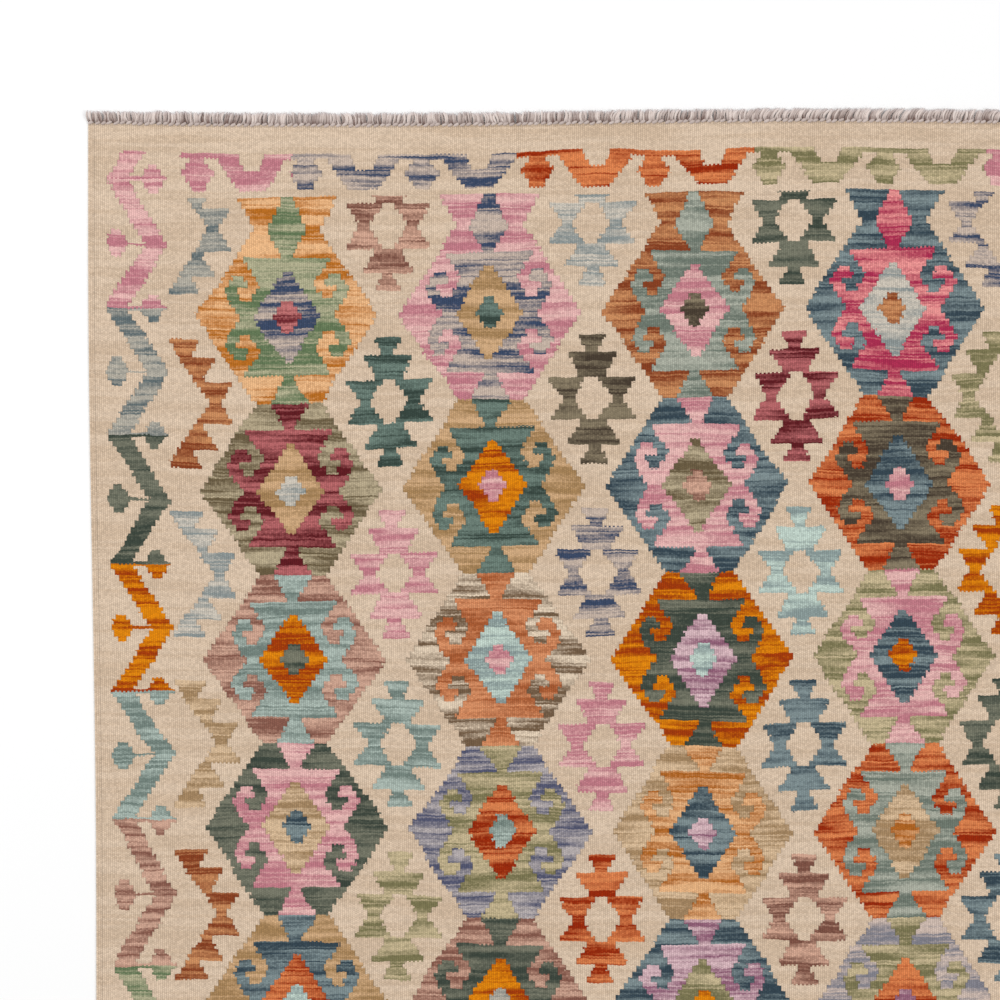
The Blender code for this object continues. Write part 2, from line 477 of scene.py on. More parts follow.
def add_object(name, bm, material):
    """Turns a finished mesh into an object of the scene."""
    mesh = bpy.data.meshes.new(name)
    bm.to_mesh(mesh)
    bm.free()
    mesh.materials.append(material)
    thing = bpy.data.objects.new(name, mesh)
    bpy.context.scene.collection.objects.link(thing)
    return thing


def finish_piece(name, bm, material, node):
    """The same for a piece of the rug, which rides on its one body."""
    bmesh.ops.recalc_face_normals(bm, faces=bm.faces)
    if bm.calc_volume(signed=True) < 0.0:  # a sheet as thin as the cloth can come out inside out
        bmesh.ops.reverse_faces(bm, faces=bm.faces)
    piece = add_object(name, bm, material)
    piece.data.shade_smooth()
    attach(piece, "root")
    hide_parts(node)
    return piece


def stretch_rows():
    """Rows at which the cloth's mesh is cut across, from its far end to its near one."""
    turn = END_TURN_ROWS[-1]
    middle = [turn + (ROWS - 2.0 * turn) * n / LENGTHS for n in range(1, LENGTHS)]
    return [*END_TURN_ROWS, *middle, *(ROWS - row for row in reversed(END_TURN_ROWS))]


def rib_dip(column, row):
    """How far the cloth's face lies below its highest level: ribs, selvedges, rounded ends."""
    warp = column / COLUMNS_PER_WARP
    from_side = min(warp, STEPS * WARPS_PER_STEP - warp)
    height = SELVEDGE_RIB_HEIGHT if from_side < SELVEDGE_WARPS else RIB_HEIGHT
    dip = height * (1.0 - abs(math.sin(math.pi * warp)))
    from_end = min(row, ROWS - row)
    turn = max(0.0, 1.0 - from_end / END_TURN_ROWS[-1])
    return dip + END_TURN_DEPTH * CLOTH_TOP * turn * turn


def build_cloth():
    """The cloth as one closed sheet, with every warp a rib on both of its faces."""
    rows = stretch_rows()
    columns = STEPS * WARPS_PER_STEP * COLUMNS_PER_WARP
    bm = bmesh.new()
    chart = bm.verts.layers.float_vector.new("chart")
    weave = bm.verts.layers.float_vector.new("weave")
    bmesh.ops.create_grid(bm, x_segments=columns, y_segments=len(rows) - 1, size=0.5)
    raised = bmesh.ops.extrude_face_region(bm, geom=list(bm.faces))
    top = {v for v in raised["geom"] if isinstance(v, bmesh.types.BMVert)}
    for v in bm.verts:
        column = round((v.co.x + 0.5) * columns)
        row = rows[round((0.5 - v.co.y) * (len(rows) - 1))]
        step = column / (COLUMNS_PER_WARP * WARPS_PER_STEP)
        x, y = place_on_rug(step, row)
        dip = rib_dip(column, row)
        z = CLOTH_TOP - dip if v in top else dip
        v.co = Vector((x, y, z + ripple(x, y)))
        drift = stray(step, row)
        v[weave] = Vector((step, row, 0.0))
        v[chart] = Vector((step - drift.x, row - drift.y, 0.0))
    flat_map = bm.loops.layers.uv.new("OFBake")
    size = max(cad_box[1][n] - cad_box[0][n] for n in range(3))
    for face in bm.faces:
        for loop in face.loops:
            loop[flat_map].uv = (loop.vert.co.xy / size) + Vector((0.5, 0.5))
    return finish_piece("rug_sheet", bm, tapestry_wool(), "rug_cloth")


def yarn_end(bm, layers, root, tip, width, tone, bend):
    """One cut warp end as a soft strand, from its knot to its tip, bowed out by `bend`."""
    towards_tip, yarn_tone = layers
    turn = (tip - root).to_track_quat("Z", "Y").to_matrix().to_4x4()
    start = Matrix.Translation(root) @ turn
    circle = bmesh.ops.create_circle(
        bm, cap_ends=True, segments=END_SIDES, radius=0.5 * width, matrix=start
    )
    face = circle["verts"][0].link_faces[0]
    for v in circle["verts"]:
        v[yarn_tone] = tone
    for n in range(1, END_RINGS + 1):
        share = n / END_RINGS
        face = bmesh.ops.extrude_discrete_faces(bm, faces=[face])["faces"][0]
        middle = root.lerp(tip, share) + bend * math.sin(math.pi * share)
        size = 0.5 * width * (END_TIP if n == END_RINGS else 1.0 + END_SWELL * share)
        centre = face.calc_center_median()
        for v in face.verts:
            v.co = middle + (v.co - centre).normalized() * size
            v[towards_tip] = share
            v[yarn_tone] = tone


def knot(bm, layers, middle, tone):
    """The knot that holds three warps at the edge of the cloth: a slanted turn of yarn."""
    yarn_tone = layers[1]
    size = Matrix.Diagonal((*(0.5 * length for length in KNOT_SIZE), 1.0))
    place = Matrix.Translation(middle) @ Matrix.Rotation(KNOT_SLANT, 4, "Z") @ size
    ball = bmesh.ops.create_uvsphere(
        bm, u_segments=KNOT_SIDES, v_segments=KNOT_RINGS, radius=1.0, matrix=place
    )
    for v in ball["verts"]:
        v[yarn_tone] = tone


def build_bunch(draw, x, edge, lean):
    """One knot with its loose ends, which lean to one side together."""
    bm = bmesh.new()
    layers = [bm.verts.layers.float.new(key) for key in ("towards_tip", "yarn_tone")]
    tone = draw.uniform(*BUNCH_TONES)
    middle = Vector((x, edge + 0.5 * KNOT_SIZE[1] - KNOT_OVERLAP, 0.5 * KNOT_SIZE[2]))
    middle.x += draw.uniform(-KNOT_WANDER, KNOT_WANDER)
    middle.y += draw.uniform(-KNOT_WANDER, KNOT_WANDER)
    knot(bm, layers, middle, tone + KNOT_TONE)
    bunch_reach = FRINGE_REACH - 0.5 * FRINGE_SHORTFALL * draw.random()
    curl = draw.uniform(-BUNCH_CURL, BUNCH_CURL) - LEAN_BEND * lean
    for m in range(ENDS_PER_KNOT):
        spread = (m + 0.5) / ENDS_PER_KNOT - 0.5
        width = END_WIDTH * draw.uniform(*END_WIDTHS)
        lift = draw.uniform(-ROOT_LIFT, ROOT_LIFT)
        root = middle + Vector((spread * ROOT_SPREAD, ROOT_OUT, lift))
        reach = bunch_reach - TIP_ROOM * width - 0.5 * FRINGE_SHORTFALL * draw.random()
        sideways = spread * TIP_SPREAD + lean + draw.uniform(-END_STRAY, END_STRAY)
        tip = Vector((x + sideways, edge + reach, draw.uniform(*END_HEIGHTS)))
        bow = curl + draw.uniform(-END_STRAY, END_STRAY)
        bend = Vector((bow, 0.0, END_RISE * draw.random()))
        yarn_end(bm, layers, root, tip, width, tone + draw.uniform(-END_TONE, END_TONE), bend)
    bmesh.ops.holes_fill(bm, edges=bm.edges, sides=END_SIDES)  # closes the ends at their roots
    return bm


def build_fringe(name, node, end, seed, material):
    """One end's knots and cut warp ends. end is +1 for the far end and -1 for the near one."""
    draw = random.Random(seed)
    knots = round(STEPS * WARPS_PER_STEP / WARPS_PER_KNOT)
    whole = bmesh.new()
    scratch = bpy.data.meshes.new("bunch")
    lean = 0.0
    for n in range(knots):
        x, y = place_on_rug((n + 0.5) * STEPS / knots, 0.0 if end > 0 else ROWS)
        lean = LEAN_KEPT * lean + draw.uniform(*LEANS)
        bunch = build_bunch(draw, x, end * y, lean)
        for v in bunch.verts:
            v.co.y *= end
        bunch.to_mesh(scratch)
        bunch.free()
        whole.from_mesh(scratch)
    bpy.data.meshes.remove(scratch)
    return finish_piece(name, whole, material, node)


# ---- Nodes


def linear(colour, other=None, spread=0.0):
    """An sRGB hex colour as linear red, green, blue and alpha.

    It can be moved away from another colour, by a share of what lies between the two.
    """
    channels = []
    for n in (1, 3, 5):
        value = int(colour[n : n + 2], 16) / 255.0
        if other:
            value += spread * (value - int(other[n : n + 2], 16) / 255.0)
        value = min(1.0, max(0.0, value))
        channels.append(value / 12.92 if value <= 0.04045 else ((value + 0.055) / 1.055) ** 2.4)
    return (*channels, 1.0)


def add(tree, kind, *inputs, named=(), stops=(), **settings):
    """Adds a node with its settings, and sets or links its inputs in order or by name.

    stops are the places and colours of a colour ramp without blends. The node's first output
    is returned.
    """
    node = tree.nodes.new("ShaderNode" + kind)
    for name, value in settings.items():
        setattr(node, name, value)
    sockets = [socket for socket in node.inputs if socket.enabled]
    for socket, value in [*zip(sockets, inputs), *((node.inputs[n], v) for n, v in named)]:
        if isinstance(value, bpy.types.NodeSocket):
            tree.links.new(value, socket)
        else:
            socket.default_value = value
    if stops:
        node.color_ramp.interpolation = "CONSTANT"
        elements = node.color_ramp.elements
        elements.remove(elements[-1])
        for number, (place, colour) in enumerate(stops):
            stop = elements.new(place) if number else elements[0]
            stop.position = place
            stop.color = colour
    return next(socket for socket in node.outputs if socket.enabled)


def table_stop(place, values):
    """A stop that keeps up to three values of a table as its red, green and blue."""
    return place, (*values, *[0.0] * (3 - len(values)), 1.0)


def chart_stops(table):
    """A chart's rows as ramp stops."""
    begins = 0.0
    stops = []
    for up_to, *widths in table:
        stops.append(table_stop(begins / CHART_SPAN, [width / WIDEST for width in widths]))
        begins = up_to
    return stops


def yarn_stops(begins, lines):
    """Stops that keep a line of yarns each, from the places at which they begin."""
    values = [[yarn_value(name) for name in names] for names in lines]
    return [table_stop(*stop) for stop in zip(begins, values)]


def yarn_value(name):
    """A yarn as a value between 0 and 1, which is where the yarns' own ramps keep its tones."""
    return (list(YARNS).index(name) + 0.5) / YARN_SLOTS


def charted_widths(put, row, table):
    """The widths that a chart gives for a row, counted from its figure's middle."""
    place = put("Math", row, CHART_SPAN, operation="DIVIDE")
    widths = put("ValToRGB", place, stops=chart_stops(table))
    widths = put("VectorMath", widths, WIDEST, operation="SCALE")
    return put("SeparateXYZ", widths).node.outputs


def charted_yarns(put, cell, lines):
    """The yarns that a table gives for a cell, by the cell's number."""
    place = put("Math", cell, 1 / YARN_SLOTS, 0.5 / YARN_SLOTS, operation="MULTIPLY_ADD")
    stops = yarn_stops([number / YARN_SLOTS for number in range(len(lines))], lines)
    return put("SeparateXYZ", put("ValToRGB", place, stops=stops)).node.outputs


def between(put, value, low, high):
    """1 where a value lies between two others, and 0 elsewhere."""
    above = put("Math", value, low, operation="GREATER_THAN")
    below = put("Math", value, high, operation="LESS_THAN")
    return put("Math", above, below, operation="MULTIPLY")


def from_edge(put, count, whole):
    """How far a count of steps or rows lies from the nearer edge of the rug."""
    from_other = put("Math", whole, count, operation="SUBTRACT")
    return put("Math", count, from_other, operation="MINIMUM")


# ---- The chart's figures. Each gives where it is, its yarn and its lot.


def chart_place(put, step, row):
    """Where a step and a row lie: from the edges, and in which cell and half of a cell."""
    at = SimpleNamespace(step=step, row=row)
    at.from_right = put("Math", STEPS, step, operation="SUBTRACT")
    at.from_side = from_edge(put, step, STEPS)
    at.from_end = from_edge(put, row, ROWS)

    from_first = put("Math", step, FIRST_CELL_STEP, operation="SUBTRACT")
    column = put("Math", from_first, CELL_STEPS, operation="DIVIDE")
    at.column = put("Clamp", put("Math", column, operation="FLOOR"), 0, COLUMNS - 1)
    from_first = put("Math", row, FIRST_CELL_ROW, operation="SUBTRACT")
    line = put("Math", from_first, CELL_ROWS, operation="DIVIDE")
    at.line = put("Clamp", put("Math", line, operation="FLOOR"), 0, FIGURE_ROWS - 1)
    at.star_line = put("Clamp", put("Math", line, operation="ROUND"), 0, FIGURE_ROWS)

    middle = FIRST_CELL_STEP + 0.5 * CELL_STEPS
    cell_middle = put("Math", at.column, CELL_STEPS, middle, operation="MULTIPLY_ADD")
    from_middle = put("Math", step, middle, operation="SUBTRACT")
    at.right_half = put("Math", step, cell_middle, operation="GREATER_THAN")
    at.among_columns = put("Math", at.from_side, middle, operation="GREATER_THAN")
    at.across = put("Math", from_middle, 0.5 * CELL_STEPS, operation="PINGPONG")
    return at


def medallion(put, at):
    """A stepped hexagon with four horns, a diamond and an eye."""
    cut_base = FIRST_CELL_ROW * (1 - CUT_FIGURE_STRETCH)
    cut_row = put("Math", at.from_end, CUT_FIGURE_STRETCH, cut_base, operation="MULTIPLY_ADD")
    figure_row = put("Math", at.from_end, cut_row, operation="MAXIMUM")
    figure_row = put("Math", figure_row, FIRST_CELL_ROW + 0.5 * CELL_ROWS, operation="SUBTRACT")
    along = put("Math", figure_row, 0.5 * CELL_ROWS, operation="PINGPONG")
    rounded = put("Math", along, operation="ROUND")
    stepped = put("Math", at.across, rounded, operation="ADD")

    widths = charted_widths(put, along, HORNS)
    is_horn = put("Math", at.across, widths["X"], operation="LESS_THAN")
    is_curl = between(put, at.across, widths["Y"], widths["Z"])
    is_horn = put("Math", is_horn, is_curl, operation="MAXIMUM")
    is_diamond = put("Math", stepped, MEDALLION_DIAMOND, operation="LESS_THAN")
    in_diamond_rows = put("Math", along, DIAMOND_END_ROW, operation="LESS_THAN")
    is_diamond = put("Math", is_diamond, in_diamond_rows, operation="MULTIPLY")
    is_eye = put("Math", stepped, MEDALLION_EYE, operation="LESS_THAN")
    in_eye_rows = put("Math", along, EYE_END_ROW, operation="LESS_THAN")
    is_eye = put("Math", is_eye, in_eye_rows, operation="MULTIPLY")
    is_here = put("Math", stepped, MEDALLION_OUTER, operation="LESS_THAN")
    inside_border = put("Math", at.from_side, FIRST_CELL_STEP, operation="GREATER_THAN")
    is_here = put("Math", is_here, inside_border, operation="MULTIPLY")

    cell = put("Math", at.column, FIGURE_ROWS, at.line, operation="MULTIPLY_ADD")
    yarns = charted_yarns(put, cell, [names[:3] for names in MEDALLIONS])
    eye_yarn = charted_yarns(put, cell, [names[3:] for names in MEDALLIONS])["X"]
    yarn = put("Mix", is_horn, yarns["X"], yarns["Y"])
    yarn = put("Mix", is_diamond, yarn, yarns["Z"])
    yarn = put("Mix", is_eye, yarn, eye_yarn)

    # The horns part the ground in two, so each side of it is a lot of its own.
    is_figure = put("Math", is_horn, is_diamond, operation="MAXIMUM")
    right_ground = put("Math", at.right_half, is_figure, operation="GREATER_THAN")
    lot = put("Math", cell, 2, right_ground, operation="MULTIPLY_ADD")
    return is_here, yarn, lot


def star(put, at):
    """A lobed star between four medallions, or half of one along a side."""
    lift = put("Math", at.from_end, FIRST_CELL_ROW + 0.5 * CELL_ROWS, operation="LESS_THAN")
    lift = put("Math", lift, at.among_columns, operation="MULTIPLY")
    star_row = put("Math", lift, CUT_STAR_LIFT, at.from_end, operation="MULTIPLY_ADD")
    star_row = put("Math", star_row, FIRST_CELL_ROW, operation="SUBTRACT")
    star_row = put("Math", star_row, 0.5 * CELL_ROWS, operation="PINGPONG")
    whole = charted_widths(put, star_row, STAR)
    half = charted_widths(put, star_row, HALF_STAR)
    inner = put("Mix", at.among_columns, half["X"], whole["X"])
    outer = put("Mix", at.among_columns, half["Y"], whole["Y"])
    across = put("Math", 0.5 * CELL_STEPS, at.across, operation="SUBTRACT")
    across = put("Mix", at.among_columns, at.from_side, across)
    is_here = between(put, across, inner, outer)

    cell = put("Math", at.column, FIGURE_ROWS + 1, at.star_line, operation="MULTIPLY_ADD")
    sides = [pair for n in range(COLUMNS) for pair in zip(STARS[n], STARS[n + 1])]
    yarns = charted_yarns(put, cell, sides)
    yarn = put("Mix", at.right_half, yarns["X"], yarns["Y"])
    lot = put("Math", at.right_half, FIGURE_ROWS + 1, cell, operation="MULTIPLY_ADD")
    lot = put("Math", lot, STAR_LOTS, operation="ADD")
    return is_here, yarn, lot


def side_zigzag(put, at):
    """The band along a side. It turns near the rug's edge and near its field by turns."""
    long_turn = (ZIGZAG_LONG_ROW, ZIGZAG_LONG_ROW + ZIGZAG_LONG_ROWS)
    starts = (ZIGZAG_TURN_ROW, ZIGZAG_TURN_ROW + ZIGZAG_LONG_ROWS - ZIGZAG_ROWS)
    start = put("MapRange", at.row, *long_turn, *starts)
    zigzag_row = put("Math", at.row, start, operation="SUBTRACT")
    turn = put("Math", zigzag_row, ZIGZAG_ROWS, operation="DIVIDE")
    turn = put("Math", turn, operation="FLOOR")
    edge_turn = put("Math", zigzag_row, 0.5 * ZIGZAG_ROWS, operation="PINGPONG")
    field_turn = put("Math", 0.5 * ZIGZAG_ROWS, edge_turn, operation="SUBTRACT")
    lean = put("Math", field_turn, operation="ROUND")
    lean = put("Math", lean, ZIGZAG_SLOPE, at.from_side, operation="MULTIPLY_ADD")
    is_band = between(put, lean, ZIGZAG_NEAR, ZIGZAG_FAR)

    by_edge_turn = put("Math", edge_turn, field_turn, operation="LESS_THAN")
    from_turn = put("Math", edge_turn, field_turn, operation="MINIMUM")
    knob_step = put("Mix", by_edge_turn, BAY_KNOB_STEP, TURN_KNOB_STEP)
    from_knob = put("Math", at.from_side, knob_step, operation="SUBTRACT")
    from_knob = put("Math", from_knob, operation="ABSOLUTE")
    knob_width = charted_widths(put, from_turn, BORDER_KNOB)["X"]
    is_knob = put("Math", from_knob, knob_width, operation="LESS_THAN")
    line_rows = put("Mix", by_edge_turn, STEM_ROWS, CHANGE_ROWS)
    in_line_rows = put("Math", from_turn, line_rows, operation="LESS_THAN")
    is_line = between(put, at.from_side, *LINE_STEPS)
    is_line = put("Math", is_line, in_line_rows, operation="MULTIPLY")
    is_here = put("Math", is_band, is_knob, operation="MAXIMUM")
    is_here = put("Math", is_here, is_line, operation="MAXIMUM")
    begun = put("Math", at.from_end, ZIGZAG_START_ROW, operation="GREATER_THAN")
    is_here = put("Math", is_here, begun, operation="MULTIPLY")

    on_right = put("Math", at.step, 0.5 * STEPS, operation="GREATER_THAN")
    place = put("Math", on_right, RIGHT_SIDE_SHIFT, 1, operation="MULTIPLY_ADD")
    place = put("Math", place, turn, operation="ADD")
    yarn = charted_yarns(put, place, [(name,) for name in SIDE_BORDER_YARNS])["X"]
    lot = put("Mix", on_right, LEFT_BORDER_LOTS, RIGHT_BORDER_LOTS)
    lot = put("Math", lot, turn, operation="ADD")
    return is_here, yarn, lot


def end_border(put, at):
    """The knobs and bowls across an end. The near end is the far one turned round."""
    at_near_end = put("Math", at.row, 0.5 * ROWS, operation="GREATER_THAN")
    end_step = put("Mix", at_near_end, at.step, at.from_right)
    half_pitch = 0.5 * KNOB_STEPS
    narrow_bay = (FIRST_KNOB_STEP, FIRST_KNOB_STEP + FIRST_KNOB_STEPS)
    starts = (FIRST_KNOB_STEP, FIRST_KNOB_STEP + FIRST_KNOB_STEPS - KNOB_STEPS)
    start = put("MapRange", end_step, *narrow_bay, *starts)
    from_first = put("Math", end_step, start, operation="SUBTRACT")
    from_knob = put("Math", from_first, half_pitch, operation="PINGPONG")
    from_bowl = put("Math", half_pitch, from_knob, operation="SUBTRACT")
    end_row = put("Math", at.from_end, END_BORDER_ROW, operation="SUBTRACT")
    widths = charted_widths(put, end_row, END_BORDER)
    is_bowl = between(put, from_bowl, widths["Y"], widths["Z"])
    is_knob = put("Math", from_knob, widths["X"], operation="LESS_THAN")
    is_here = put("Math", is_bowl, is_knob, operation="MAXIMUM")
    begun = put("Math", end_row, 0, operation="GREATER_THAN")
    is_here = put("Math", is_here, begun, operation="MULTIPLY")
    inside = between(put, end_step, *END_BORDER_STEPS)
    is_here = put("Math", is_here, inside, operation="MULTIPLY")

    begins = [step / STEPS for step, name in END_BORDER_YARNS]
    stops = yarn_stops(begins, [(name,) for step, name in END_BORDER_YARNS])
    place = put("Math", end_step, STEPS, operation="DIVIDE")
    yarn = put("SeparateXYZ", put("ValToRGB", place, stops=stops))
    lot = put("Math", is_knob, END_BORDER_LOTS, operation="ADD")
    return is_here, yarn, lot


def kilim_chart():
    """The whole pattern as a node group: a step and a row go in, a yarn and a lot come out."""
    group = bpy.data.node_groups.new("kilim chart", "ShaderNodeTree")
    for name, side in (("Step", "INPUT"), ("Row", "INPUT"), ("Yarn", "OUTPUT"), ("Lot", "OUTPUT")):
        group.interface.new_socket(name, in_out=side, socket_type="NodeSocketFloat")
    counts = group.nodes.new("NodeGroupInput").outputs
    put = partial(add, group)
    at = chart_place(put, counts["Step"], counts["Row"])
    in_field = put("Math", at.from_end, FIELD_ROW, operation="GREATER_THAN")
    yarn, lot = yarn_value("sand"), 0.0
    figures = ((star, in_field), (medallion, in_field), (side_zigzag, 1), (end_border, 1))
    for figure, clip in figures:
        is_here, figure_yarn, figure_lot = figure(put, at)
        is_here = put("Math", is_here, clip, operation="MULTIPLY")
        yarn = put("Mix", is_here, yarn, figure_yarn)
        lot = put("Mix", is_here, lot, figure_lot)
    outputs = group.nodes.new("NodeGroupOutput").inputs
    group.links.new(yarn, outputs["Yarn"])
    group.links.new(lot, outputs["Lot"])
    return group


# ---- Materials


def new_material(name, surface):
    """A material with the uniform values of its surface. Its nodes and shader come with it."""
    material = bpy.data.materials.new(name)
    material.use_nodes = True
    tree = material.node_tree
    shader = tree.nodes["Principled BSDF"]
    for socket, value in surface.items():
        shader.inputs[socket].default_value = value
    return material, tree, shader


def unevenness(put, place, steps, rows, noise_settings, size):
    """Soft noise over the weave, by up to half of its size to either side."""
    place = put("VectorMath", place, (1 / steps, 1 / rows, 0.0), operation="MULTIPLY")
    value = put("TexNoise", place, *noise_settings, noise_dimensions="2D")
    return put("Math", value, size, -0.5 * size, operation="MULTIPLY_ADD")


def whole_and_rest(put, count):
    """The whole part of a count, and how far from its middle the rest lies."""
    rest = put("Math", put("Math", count, operation="FRACT"), 0.5, operation="SUBTRACT")
    return put("Math", count, operation="FLOOR"), rest


def woven_place(put):
    """Where a point lies among the warps and the pairs of weft passes.

    Hand beating lets the weft rise and fall, and a colour's edge slips by the odd warp. The weft
    goes over one warp and under the next, so the same pair lies a little further along on every
    other warp.
    """
    place = put("Attribute", attribute_name="weave").node.outputs["Vector"]
    counts = put("SeparateXYZ", place).node.outputs
    at = SimpleNamespace(step=counts["X"], row=counts["Y"])
    at.wander = unevenness(put, place, WANDER_STEPS, WANDER_LENGTH, WANDER_NOISE, WANDER_ROWS)
    at.slip = unevenness(put, place, SLIP_EVERY, SLIP_LENGTH, SMOOTH_NOISE, SLIP_STEPS)
    at.weft_row = put("Math", at.row, at.wander, operation="ADD")
    warp_place = put("Math", at.step, WARPS_PER_STEP, operation="MULTIPLY")
    at.warp, at.off_warp = whole_and_rest(put, warp_place)
    at.odd = put("Math", at.warp, 2, operation="MODULO")
    tooth = put("Math", at.odd, TOOTH, operation="MULTIPLY")
    pick_place = put("Math", at.weft_row, 1 / PICK_ROWS, tooth, operation="MULTIPLY_ADD")
    at.pick, at.off_pick = whole_and_rest(put, pick_place)
    return at


def charted_pass(put, at):
    """The yarn and the lot of the pair of passes at a point, as charted for its middle.

    The third value is 1 where the warp beside, on the side of the point, has the same yarn.
    """
    place = put("Attribute", attribute_name="chart").node.outputs["Vector"]
    place = put("SeparateXYZ", place).node.outputs
    to_warp = put("Math", at.off_warp, -1 / WARPS_PER_STEP, at.slip, operation="MULTIPLY_ADD")
    to_pick = put("Math", at.off_pick, -PICK_ROWS, at.wander, operation="MULTIPLY_ADD")
    step = put("Math", place["X"], to_warp, operation="ADD")
    row = put("Math", place["Y"], to_pick, operation="ADD")
    chart = kilim_chart()
    here = put("Group", step, row, node_tree=chart).node.outputs
    beside = put("Math", at.off_warp, operation="SIGN")
    beside = put("Math", beside, 1 / WARPS_PER_STEP, step, operation="MULTIPLY_ADD")
    beside = put("Group", beside, row, node_tree=chart)
    same = put("Math", here["Yarn"], beside, 0.5 / YARN_SLOTS, operation="COMPARE")
    return here["Yarn"], here["Lot"], same


def weft_beads(put, at):
    """The beads that the weft makes on a warp.

    Gives how near a point is to its bead's sides, how near it is to the bead's ends, and the
    bead's own random value.
    """
    groove = put("Math", put("Math", at.off_warp, operation="ABSOLUTE"), 2, operation="MULTIPLY")
    half_bead = put("Math", at.odd, 0.5, operation="MULTIPLY")
    bead_place = put("Math", at.weft_row, 1 / BEAD_ROWS, half_bead, operation="MULTIPLY_ADD")
    bead, off_bead = whole_and_rest(put, bead_place)
    gap = put("Math", put("Math", off_bead, operation="ABSOLUTE"), 2, operation="MULTIPLY")
    chance = put("TexWhiteNoise", put("CombineXYZ", at.warp, bead, 0.0), noise_dimensions="2D")
    chance = put("Math", chance, 0.5, operation="SUBTRACT")
    return groove, gap, chance


def dyed_wool(put, at, yarn, lot, chance):
    """A yarn's colour. The dye took unevenly, which shows as streaks along the weft."""
    lot_seed = put("Math", lot, LOTS_APART, operation="MULTIPLY")
    seed = put("Math", yarn, YARNS_APART, lot_seed, operation="MULTIPLY_ADD")
    along_weft = put("Math", at.step, 1 / STREAK_STEPS, operation="MULTIPLY")
    broad = put("Math", at.pick, PICK_ROWS / BROAD_STREAK_ROWS, operation="MULTIPLY")
    broad = put("TexNoise", put("CombineXYZ", along_weft, broad, seed), *BROAD_STREAK_NOISE)
    broad = put("MapRange", broad, *STREAK_CONTRAST, 0, 1)
    fine = put("Math", at.pick, NOISE_OFF_GRID, operation="MULTIPLY")
    fine = put("TexNoise", put("CombineXYZ", along_weft, fine, seed), *SMOOTH_NOISE)
    fine = put("Math", fine, 0.5, operation="SUBTRACT")
    tone = put("Math", fine, FINE_STREAKS, broad, operation="MULTIPLY_ADD")
    tone = put("Math", chance, -SPECKLE, tone, operation="MULTIPLY_ADD")
    light_stops, dark_stops = [], []
    for number, (light, dark) in enumerate(YARNS.values()):
        light_stops.append((number / YARN_SLOTS, linear(light, dark, SPREAD_LIGHT)))
        dark_stops.append((number / YARN_SLOTS, linear(dark, light, SPREAD_DARK)))
    light = put("ValToRGB", yarn, stops=light_stops)
    dark = put("ValToRGB", yarn, stops=dark_stops)
    wool = put("Mix", tone, light, dark, data_type="RGBA")
    return put("HueSaturation", named=(("Color", wool), ("Saturation", DYE_DEPTH)))


def weave_brightness(put, at, chance, groove_depth, gap_depth, slit):
    """How bright a bead's face is, less painted shade where it is sunk, at the seam and by the
    knots.
    """
    in_seam = between(put, from_edge(put, at.step, STEPS), *SELVEDGE_SEAM)
    # painted shadow of the knots, on the cloth at each end
    in_knot_shadow = put("Math", from_edge(put, at.row, ROWS), KNOT_SHADOW_ROWS, operation="LESS_THAN")
    brightness = put("Math", chance, HEATHER, BEAD_FACE, operation="MULTIPLY_ADD")
    shades = (
        (groove_depth, GROOVE_SHADE),
        (gap_depth, BEAD_SHADE),
        (slit, SLIT_SHADE),
        (in_seam, SELVEDGE_SHADE),
        (in_knot_shadow, KNOT_SHADOW),
    )
    for where, shade in shades:
        brightness = put("Math", where, -shade, brightness, operation="MULTIPLY_ADD")
    return brightness


def tapestry_wool():
    """Wool weft packed over cotton warps.

    The hand-spun, pot-dyed weft shows as rows of small matt beads along 2.9 mm ribs, streaked
    and heathered in two tones of each colour, with painted shade in slits where colours meet along
    a warp.
    """
    surface = {
        "Roughness": 0.93,
        "IOR": 1.54,
        "Specular IOR Level": 0.1,
        "Sheen Weight": 0.02,
        "Sheen Roughness": 0.6,
    }
    material, tree, shader = new_material("weft-faced tapestry wool", surface)
    put = partial(add, tree)
    at = woven_place(put)
    yarn, lot, same = charted_pass(put, at)
    groove, gap, chance = weft_beads(put, at)
    groove_depth = put("Math", groove, groove, operation="MULTIPLY")
    gap_depth = put("Math", gap, gap, operation="MULTIPLY")
    closed = put("Math", groove, same, operation="MULTIPLY")
    slit = put("Math", groove, closed, operation="SUBTRACT")

    wool = dyed_wool(put, at, yarn, lot, chance)
    brightness = weave_brightness(put, at, chance, groove_depth, gap_depth, slit)
    wool = put("VectorMath", wool, brightness, operation="SCALE")
    sunk = put("Math", gap_depth, slit, operation="MAXIMUM")
    height = put("Math", 1.0, sunk, operation="SUBTRACT")
    relief = (("Height", height), ("Distance", BEAD_RELIEF), ("Strength", BEAD_BUMP))
    bump = put("Bump", named=relief)
    tree.links.new(wool, shader.inputs["Base Color"])
    tree.links.new(bump, shader.inputs["Normal"])
    return material


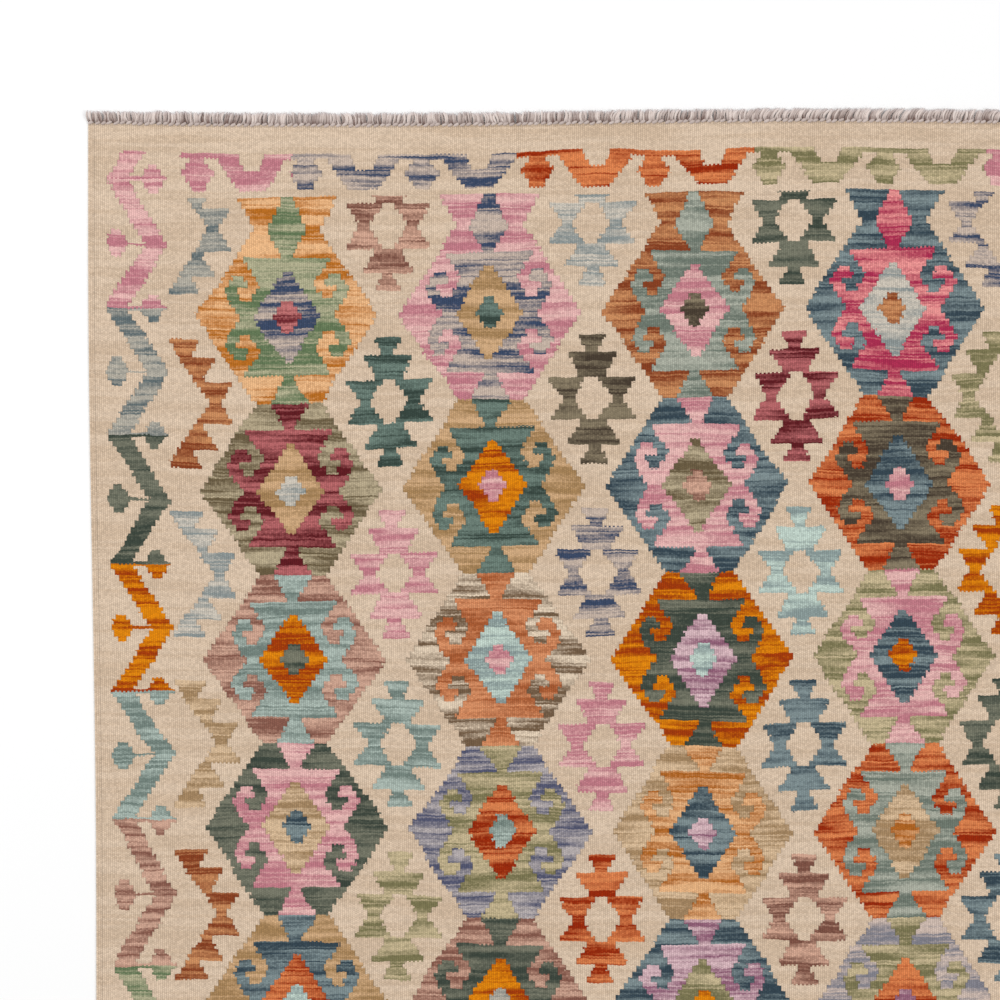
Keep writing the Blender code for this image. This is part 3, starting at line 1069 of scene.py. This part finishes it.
def cut_yarn():
    """Spun cotton warp ends, knotted and cut: soft, matt and grey, with frayed pale tips.

    The fibres are about 1 mm apart here, coarser than real ones, so that they show.
    """
    surface = {"Roughness": 0.9, "IOR": 1.53, "Specular IOR Level": 0.2, "Sheen Weight": 0.1}
    material, tree, shader = new_material("cut cotton warp ends", surface)
    put = partial(add, tree)
    place = put("TexCoord").node.outputs["Object"]
    towards_tip = put("Attribute", attribute_name="towards_tip").node.outputs["Fac"]
    yarn_tone = put("Attribute", attribute_name="yarn_tone").node.outputs["Fac"]
    fibres = put("TexNoise", place, *FIBRE_NOISE)
    # grime, and painted shade among the ends, darkest where they leave the knot
    grime_and_shade = put("MapRange", towards_tip, 0.0, ROOT_DARKENING_ENDS, ROOT_GRIME_AND_SHADE, END_GRIME_AND_SHADE)
    tone = put("Math", fibres, FIBRE_CONTRAST, grime_and_shade, operation="MULTIPLY_ADD")
    tone = put("Math", yarn_tone, TONE_CONTRAST, tone, operation="MULTIPLY_ADD")
    cotton = put("Mix", tone, linear(COTTON_DARK), linear(COTTON_PALE), data_type="RGBA")
    paling = put("MapRange", towards_tip, FRAYED_FROM, 1.0, 0.0, FRAYED_PALING)
    cotton = put("Mix", paling, cotton, linear(COTTON_FRAYED), data_type="RGBA")
    relief = (("Height", fibres), ("Distance", FIBRE_RELIEF), ("Strength", FIBRE_BUMP))
    bump = put("Bump", named=relief)
    tree.links.new(cotton, shader.inputs["Base Color"])
    tree.links.new(bump, shader.inputs["Normal"])
    return material


# ---- The studio


def floor_plane():
    """A plain floor in matt white paint, just under the rug."""
    surface = {"Base Color": linear("#fbfbfb"), "Roughness": 0.9, "Specular IOR Level": 0.1}
    paint, *_ = new_material("matt white floor paint", surface)
    bm = bmesh.new()
    place = Matrix.Translation((0.0, 0.0, -FLOOR_DROP))
    bmesh.ops.create_grid(bm, x_segments=1, y_segments=1, size=FLOOR_REACH, matrix=place)
    floor = add_object("studio_floor", bm, paint)


def soft_light(name, place, size, power):
    """A square softbox, turned to the middle of what the camera sees."""
    lamp = bpy.data.lights.new(name, "AREA")
    lamp.shape = "SQUARE"
    lamp.size = size
    lamp.energy = power
    softbox = bpy.data.objects.new(name, lamp)
    softbox.location = place
    softbox.rotation_euler = (Vector(LAMP_AIM) - Vector(place)).to_track_quat("-Z", "Y").to_euler()
    bpy.context.scene.collection.objects.link(softbox)


def light_and_camera():
    """Even white light and a camera straight above, as far off as the photograph's frame needs."""
    scene = bpy.context.scene
    world = bpy.data.worlds.new("studio")
    world.use_nodes = True
    background = world.node_tree.nodes["Background"]
    background.inputs["Color"].default_value = (1.0, 1.0, 1.0, 1.0)
    background.inputs["Strength"].default_value = SKY_STRENGTH
    scene.world = world
    scene.view_settings.view_transform = "Standard"
    for lamp in LAMPS:
        soft_light(*lamp)
    camera_data = bpy.data.cameras.new("camera")
    camera_data.lens = LENS
    camera_data.sensor_width = SENSOR
    camera = bpy.data.objects.new("camera", camera_data)
    distance = LENS / SENSOR * PIXEL * PHOTO_PIXELS
    camera.location = (*CAMERA_AIM, distance + CLOTH_TOP)
    scene.collection.objects.link(camera)
    scene.camera = camera


# ---- The rug in its studio

cloth = build_cloth()
warp_ends = cut_yarn()
far_fringe = build_fringe("knotted_ends_far", "fringe_top", 1.0, FAR_FRINGE_SEED, warp_ends)
near_fringe = build_fringe("knotted_ends_near", "fringe_bottom", -1.0, NEAR_FRINGE_SEED, warp_ends)
floor_plane()
light_and_camera()
